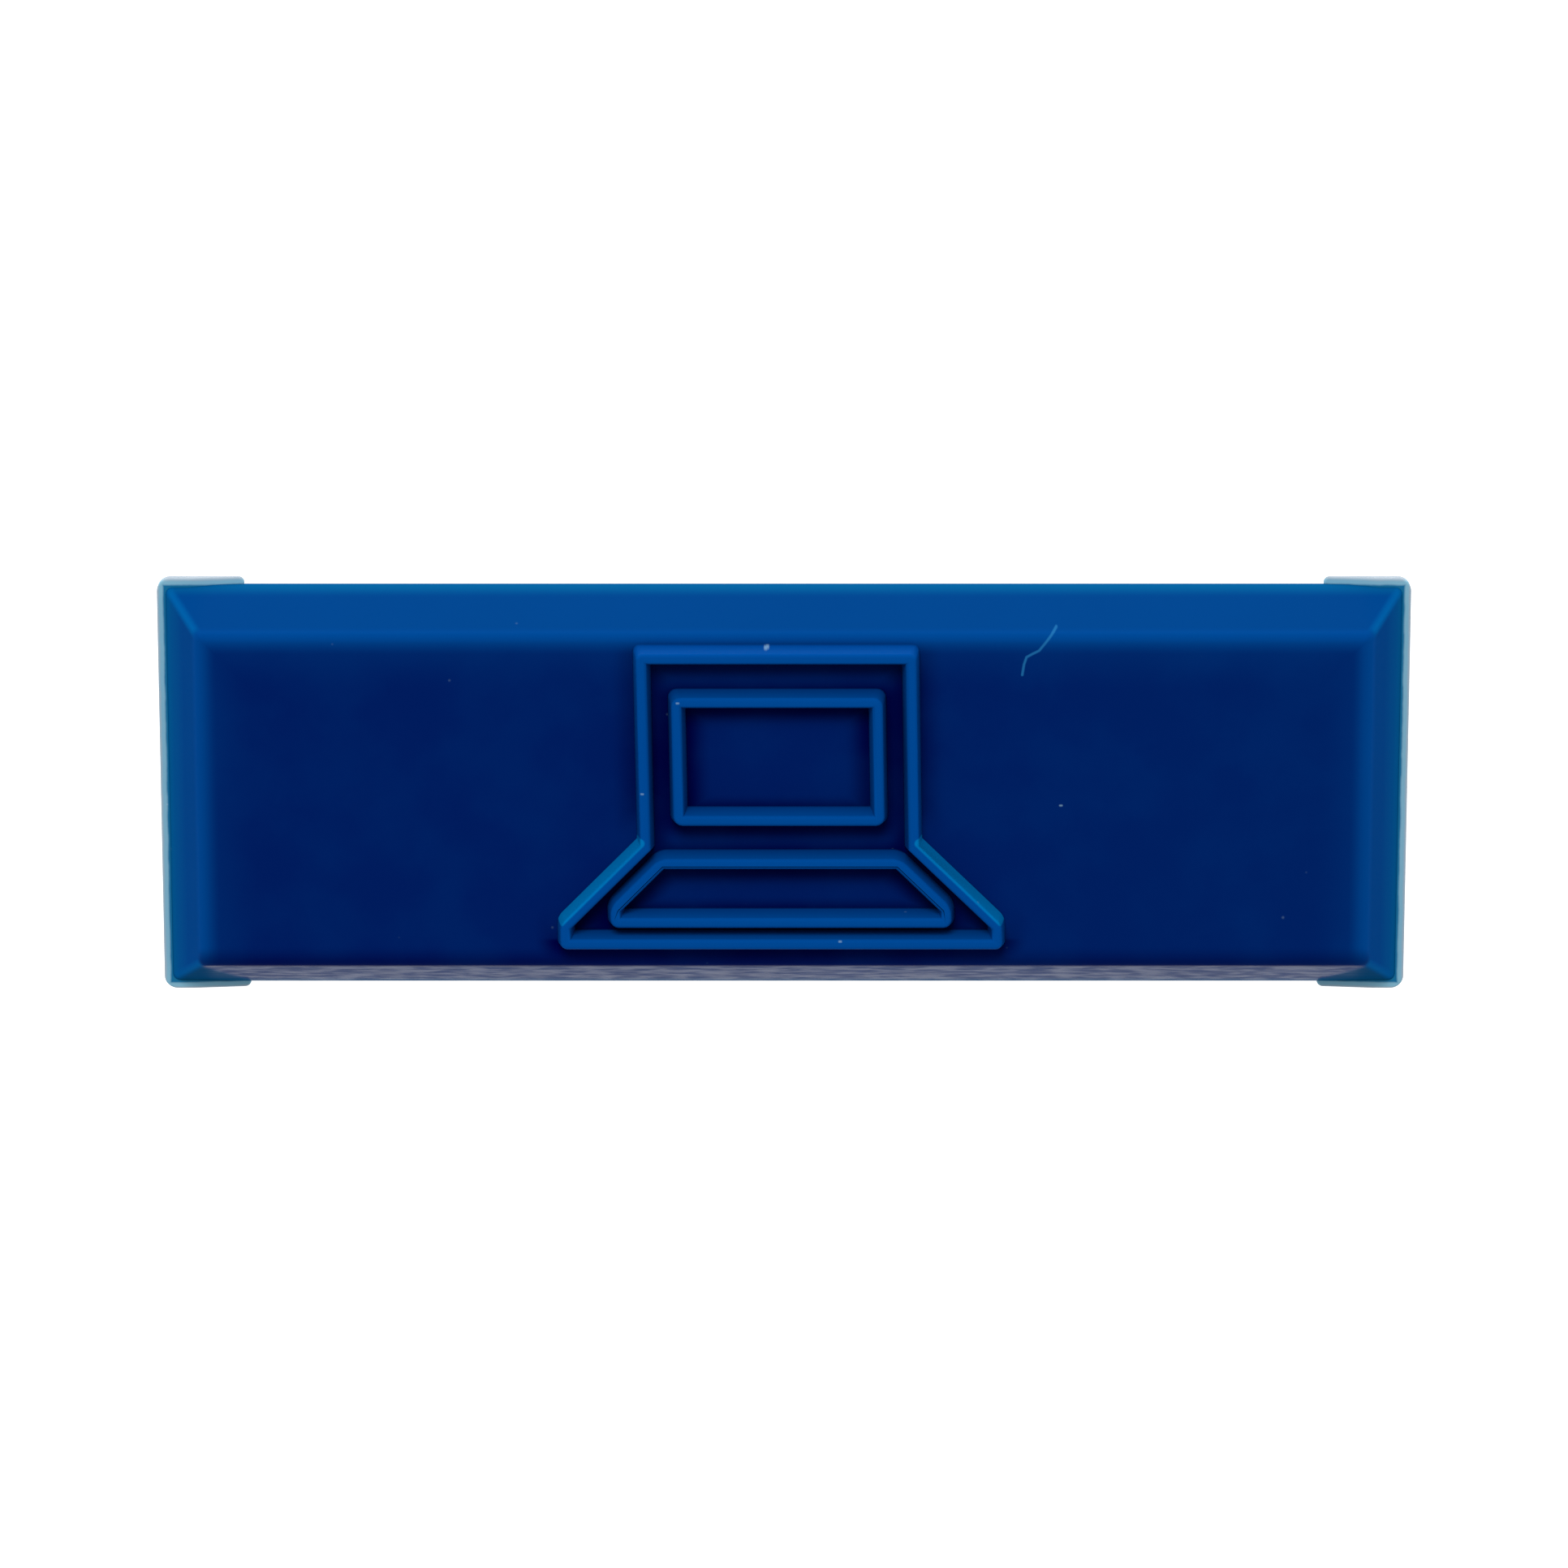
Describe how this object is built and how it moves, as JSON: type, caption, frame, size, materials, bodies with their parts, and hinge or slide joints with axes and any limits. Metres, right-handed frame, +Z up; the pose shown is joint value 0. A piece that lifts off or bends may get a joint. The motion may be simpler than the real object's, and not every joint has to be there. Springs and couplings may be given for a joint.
{
  "type": "chalkboard eraser",
  "caption": "Hand-held chalkboard eraser: blue moulded cover with a raised laptop pictogram, translucent end clips and a felt pad of lengthwise strips.",
  "frame": {"origin": "centre of the felt's wiping face, on the surface that the eraser lies on", "axes": "+Z up, from the felt to the raised pictogram; +X along the eraser, to the pictogram's right; +Y to the pictogram's top"},
  "size_m": [0.1522, 0.0518, 0.0272],
  "materials": {
    "cover_plastic": "semi-gloss, slightly translucent blue",
    "clip_plastic": "satin, translucent pale blue",
    "hardboard": "smooth pressed fibreboard",
    "adhesive": "dried glue film",
    "backing_cloth": "woven",
    "felt": "pressed wool felt",
    "thread": "waxed thread"
  },
  "bodies": {
    "handle": {"cover": "cover_plastic", "carrier_board": "hardboard", "adhesive_film": "adhesive", "backing_cloth": "backing_cloth", "felt_strip_1": "felt", "felt_strip_2": "felt", "felt_strip_3": "felt", "felt_strip_4": "felt", "felt_strip_5": "felt", "felt_strip_6": "felt", "felt_strip_7": "felt", "felt_strip_8": "felt", "side_stitches_front": "thread", "side_stitches_back": "thread"},
    "left_clip": {"left_end_clip": "clip_plastic"},
    "right_clip": {"right_end_clip": "clip_plastic"}
  },
  "joints": [
    {"name": "left_clip_slide", "type": "slide", "parent": "handle", "child": "left_clip", "axis": [-1, 0, 0], "range_m": [0, 0.013]},
    {"name": "right_clip_slide", "type": "slide", "parent": "handle", "child": "right_clip", "axis": [1, 0, 0], "range_m": [0, 0.013]}
  ]
}
